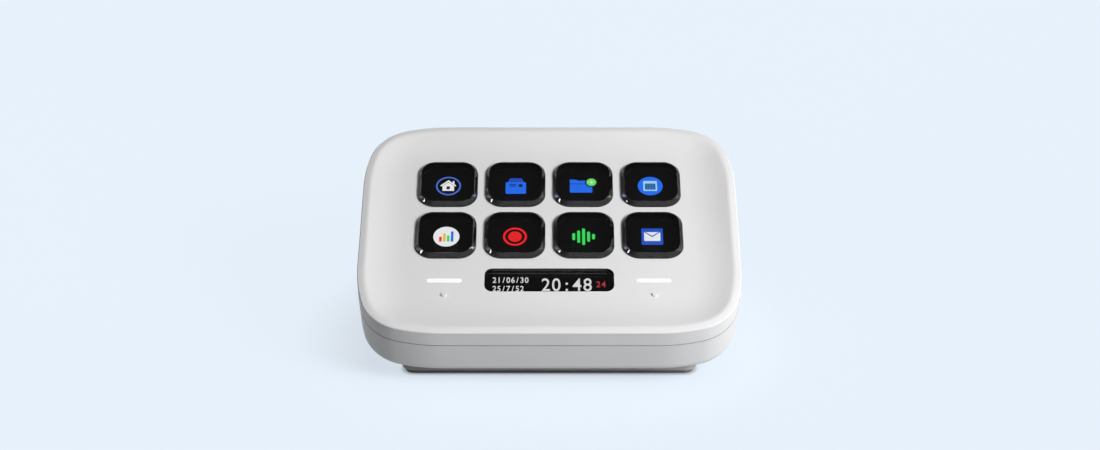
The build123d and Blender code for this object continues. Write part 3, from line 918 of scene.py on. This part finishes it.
FLOOR_REACH = 4.0
FLOOR_LEVEL = 0.985  # brightness of the open floor beside its colour
OTHER_LIGHT = 0.16  # what the top lamp and the room give a white floor
LAMP_LIGHT = 0.0945  # what one watt of a soft lamp gives a white floor one metre under it
NEAR_SHARE = 0.36  # how much of the floor's look comes from the lamps near the keypad
FAR_SHARE = 0.06  # and far from it
NEAR_REACH = 0.050
FAR_REACH = 0.078
CONTACT_SHADOW_REACH = 0.0016  # how far the painted contact shadow under the foot reaches
BOUNCE_TONE = (0.42, 0.42, 0.42, 1)  # the floor as the keypad's own light meets it
WALL_TONE = (0.86, 0.86, 0.86, 1)

SENSOR_WIDTH = 36
NEAREST_SEEN = 0.01
VIEW_SIDE = 0.2  # mm, from the middle of the keys to the middle of the view
CAMERA_DROP = 4.28  # mm, how far the camera stands below its line to the face


def vector_math(tree, place, operation, *values):
    """The outputs of a Vector Math node that is fed with these vectors and outputs."""
    node = add_node(tree, "ShaderNodeVectorMath", place, operation=operation)
    for socket, value in zip(node.inputs, values):
        feed(tree, socket, value)
    return node.outputs


def floor_light(tree, where, power):
    """How brightly this place on a white floor is lit where no shadow falls."""
    aim = (Vector(LAMP_AIM) - Vector(KEY_LAMP)).normalized()
    way = vector_math(tree, (-1300, -500), "SUBTRACT", where, KEY_LAMP)["Vector"]
    ahead = vector_math(tree, (-1100, -400), "DOT_PRODUCT", way, aim)["Value"]
    distance = vector_math(tree, (-1100, -600), "LENGTH", way)["Value"]

    # both slants and the fall with the square of the distance make its fourth power
    spread = worked_out(tree, (-900, -600), "POWER", distance, 4.0)
    share = worked_out(tree, (-700, -500), "DIVIDE", ahead, spread)
    strength = KEY_LAMP[2] * power * LAMP_LIGHT
    return worked_out(tree, (-520, -500), "MULTIPLY_ADD", share, strength, OTHER_LIGHT)


def floor_material(tone, power):
    """A pale floor that keeps the keypad's shadow: its glow fills in where the lamp falls off, and
    a painted contact shadow darkens the glow next to the foot and the body.
    """
    material = bpy.data.materials.new("studio_floor")
    material.use_nodes = True
    tree = material.node_tree
    tree.nodes.clear()
    where = on_object(tree, (-1500, 0))
    cloud = cloudy(tree, (-600, 0), where, 3.0, 2.0)
    level = faded(tree, (-400, 0), cloud, (0.3, 0.7), (0.992, 1.0), eased=False)
    paper = scaled(tree, (-200, 0), tone[:3], level)

    # near the keypad the lamps light the floor, and its glow takes over farther away
    reach = vector_math(tree, (-1300, -800), "LENGTH", where)["Value"]
    share = faded(
        tree, (-1100, -800), reach, (NEAR_REACH, FAR_REACH), (NEAR_SHARE, FAR_SHARE)
    )
    light = floor_light(tree, where, power)
    lamp_part = worked_out(tree, (-340, -500), "MULTIPLY", light, share)
    rest = worked_out(tree, (-340, -680), "SUBTRACT", 1.0, share)
    missing = worked_out(tree, (-160, -500), "SUBTRACT", FLOOR_LEVEL, lamp_part)
    strength = worked_out(tree, (20, -500), "DIVIDE", missing, rest)

    # painted contact shadow: ambient occlusion darkens the floor's glow close to the foot and the
    # body
    contact = add_node(tree, "ShaderNodeAmbientOcclusion", (-200, -260), samples=8)
    fill(contact, Distance=CONTACT_SHADOW_REACH)
    matt = add_node(tree, "ShaderNodeBsdfDiffuse", (0, 120))
    glow = add_node(tree, "ShaderNodeEmission", (0, -40))
    bounce = add_node(tree, "ShaderNodeBsdfDiffuse", (220, -160))
    fill(bounce, Color=BOUNCE_TONE)
    tree.links.new(paper, contact.inputs["Color"])
    tree.links.new(paper, matt.inputs["Color"])
    tree.links.new(contact.outputs["Color"], glow.inputs["Color"])
    tree.links.new(strength, glow.inputs["Strength"])
    seen = either(tree, (220, 60), rest, matt.outputs["BSDF"], glow.outputs["Emission"])
    eye = seen_by_eye(tree, (-200, 420))
    choice = either(tree, (480, 0), eye, bounce.outputs["BSDF"], seen)
    output = add_node(tree, "ShaderNodeOutputMaterial", (700, 0))
    tree.links.new(choice, output.inputs["Surface"])
    return material


def backdrop(tree, place, tone, strength):
    """A background of this tone and strength."""
    node = add_node(tree, "ShaderNodeBackground", place)
    fill(node, Color=tone)
    tree.links.new(strength, node.inputs["Strength"])
    return node.outputs["Background"]


def studio_room(strength, back_strength):
    """The room: pale walls, duller at the left, and a dark ceiling; its light is from behind."""
    world = bpy.data.worlds.new("studio_room")
    bpy.context.scene.world = world
    world.use_nodes = True
    tree = world.node_tree
    tree.nodes.clear()
    way = add_node(tree, "ShaderNodeTexCoord", (-900, 0))
    split = add_node(tree, "ShaderNodeSeparateXYZ", (-700, 0))
    tree.links.new(way.outputs["Generated"], split.inputs[0])
    sideways, backwards, upwards = split.outputs

    # what shows in reflections
    ceiling = faded(tree, (-450, 160), upwards, (0.35, 0.75), (1.0, 0.06))
    left = faded(tree, (-450, 420), sideways, (-0.7, 0.2), (0.35, 1.0))
    bright = worked_out(tree, (-150, 260), "MULTIPLY", left, ceiling)
    walls = backdrop(tree, (100, 160), WALL_TONE, bright)

    # what lights the keypad: a weak fill, stronger at the right, and a low light from behind
    side = faded(tree, (-450, -160), sideways, (-0.6, 0.8), (0.45, 1.3))
    level = worked_out(tree, (-150, -160), "MULTIPLY", side, strength)
    behind = faded(tree, (-450, -420), backwards, (0.1, 0.6), (0.0, back_strength))
    low = faded(tree, (-450, -680), upwards, (0.25, 0.45), (1.0, 0.0))
    both = worked_out(tree, (-50, -360), "MULTIPLY_ADD", behind, low, level)
    light = backdrop(tree, (100, -100), (1, 1, 1, 1), both)

    choice = either(tree, (500, 0), seen_by_eye(tree, (-300, 460)), light, walls)
    output = add_node(tree, "ShaderNodeOutputWorld", (800, 0))
    tree.links.new(choice, output.inputs["Surface"])


def soft_lamp(name, place, aim, size, power, shows=False):
    """A square soft lamp at this place that points at its aim: it lights, or shows as a glint."""
    lamp = bpy.data.lights.new(name, "AREA")
    lamp.shape = "SQUARE"
    lamp.size = size
    lamp.energy = power
    holder = bpy.data.objects.new(name, lamp)
    holder.location = place
    holder.rotation_euler = (Vector(aim) - Vector(place)).to_track_quat("-Z", "Y").to_euler()
    holder.visible_diffuse = not shows
    holder.visible_glossy = shows
    holder.visible_transmission = shows
    bpy.context.scene.collection.objects.link(holder)


def place_camera(settings):
    """The camera in front of the keypad, looking down on it from its angle above the horizon."""
    camera = bpy.data.cameras.new("camera")
    camera.lens = settings.camera_lens
    camera.sensor_width = SENSOR_WIDTH
    camera.clip_start = NEAREST_SEEN
    holder = bpy.data.objects.new("camera", camera)
    down = settings.camera_height
    ahead = Vector((0, math.cos(down), -math.sin(down)))
    upward = Vector((0, math.sin(down), math.cos(down)))
    target = FACE @ Vector((VIEW_SIDE, 0, 0))
    holder.location = target - ahead * settings.camera_distance - upward * CAMERA_DROP * MM
    holder.rotation_euler = (math.pi / 2 - down, 0, 0)
    bpy.context.scene.collection.objects.link(holder)
    bpy.context.scene.camera = holder


class KEYPAD_OT_studio(bpy.types.Operator):
    """Set up the floor, the room, the lamps and the camera"""

    bl_idname = "keypad.studio"
    bl_label = "Studio"

    def execute(self, context):
        settings = context.scene.keypad_studio
        shape = bmesh.new()
        bmesh.ops.create_grid(shape, x_segments=4, y_segments=4, size=FLOOR_REACH)
        mesh = bpy.data.meshes.new("studio_floor")
        shape.to_mesh(mesh)
        shape.free()
        mesh.materials.append(floor_material(tuple(settings.floor_tone), settings.key_power))
        floor = bpy.data.objects.new("studio_floor", mesh)
        context.scene.collection.objects.link(floor)
        studio_room(settings.fill_strength, settings.back_strength)
        soft_lamp("key_lamp", KEY_LAMP, LAMP_AIM, KEY_LAMP_SIZE, settings.key_power)
        soft_lamp("top_lamp", TOP_LAMP, LAMP_AIM, TOP_LAMP_SIZE, settings.top_power)
        soft_lamp(
            "glint_lamp", GLINT_LAMP, GLINT_LAMP_AIM, GLINT_LAMP_SIZE, settings.glint_power,
            shows=True,
        )
        place_camera(settings)
        context.scene.view_settings.view_transform = "Standard"
        return {"FINISHED"}


class KEYPAD_PT_panel(bpy.types.Panel):
    """Lists the keypad's pieces"""

    bl_idname = "KEYPAD_PT_panel"
    bl_label = "Desk keypad"
    bl_space_type = "VIEW_3D"
    bl_region_type = "UI"
    bl_category = "Keypad"

    def draw(self, context):
        for title in GROUPS:
            group = getattr(context.scene, title)
            box = self.layout.box()
            for name in group.__annotations__:
                box.prop(group, name)
        for step in STEPS:
            self.layout.operator(step.bl_idname)


STEPS = (
    KEYPAD_OT_housing,
    KEYPAD_OT_keys,
    KEYPAD_OT_icons,
    KEYPAD_OT_window,
    KEYPAD_OT_touch_bars,
    KEYPAD_OT_foot,
    KEYPAD_OT_insides,
    KEYPAD_OT_studio,
)
GROUPS = {
    "keypad_housing": KeypadHousing,
    "keypad_keys": KeypadKeys,
    "keypad_screens": KeypadScreens,
    "keypad_studio": KeypadStudio,
}
CLASSES = (*GROUPS.values(), *STEPS, KEYPAD_PT_panel)


def register():
    """Adds the settings, the operators and the panel."""
    for kind in CLASSES:
        bpy.utils.register_class(kind)
    for name, group in GROUPS.items():
        setattr(bpy.types.Scene, name, bpy.props.PointerProperty(type=group))


def unregister():
    """Takes them away again."""
    for name in GROUPS:
        delattr(bpy.types.Scene, name)
    for kind in reversed(CLASSES):
        bpy.utils.unregister_class(kind)


def main():
    """Builds the scene piece by piece."""
    register()
    bpy.ops.keypad.housing()
    bpy.ops.keypad.keys()
    bpy.ops.keypad.icons()
    bpy.ops.keypad.window()
    bpy.ops.keypad.touch_bars()
    bpy.ops.keypad.foot()
    bpy.ops.keypad.insides()
    bpy.ops.keypad.studio()


if __name__ == "__main__":
    main()
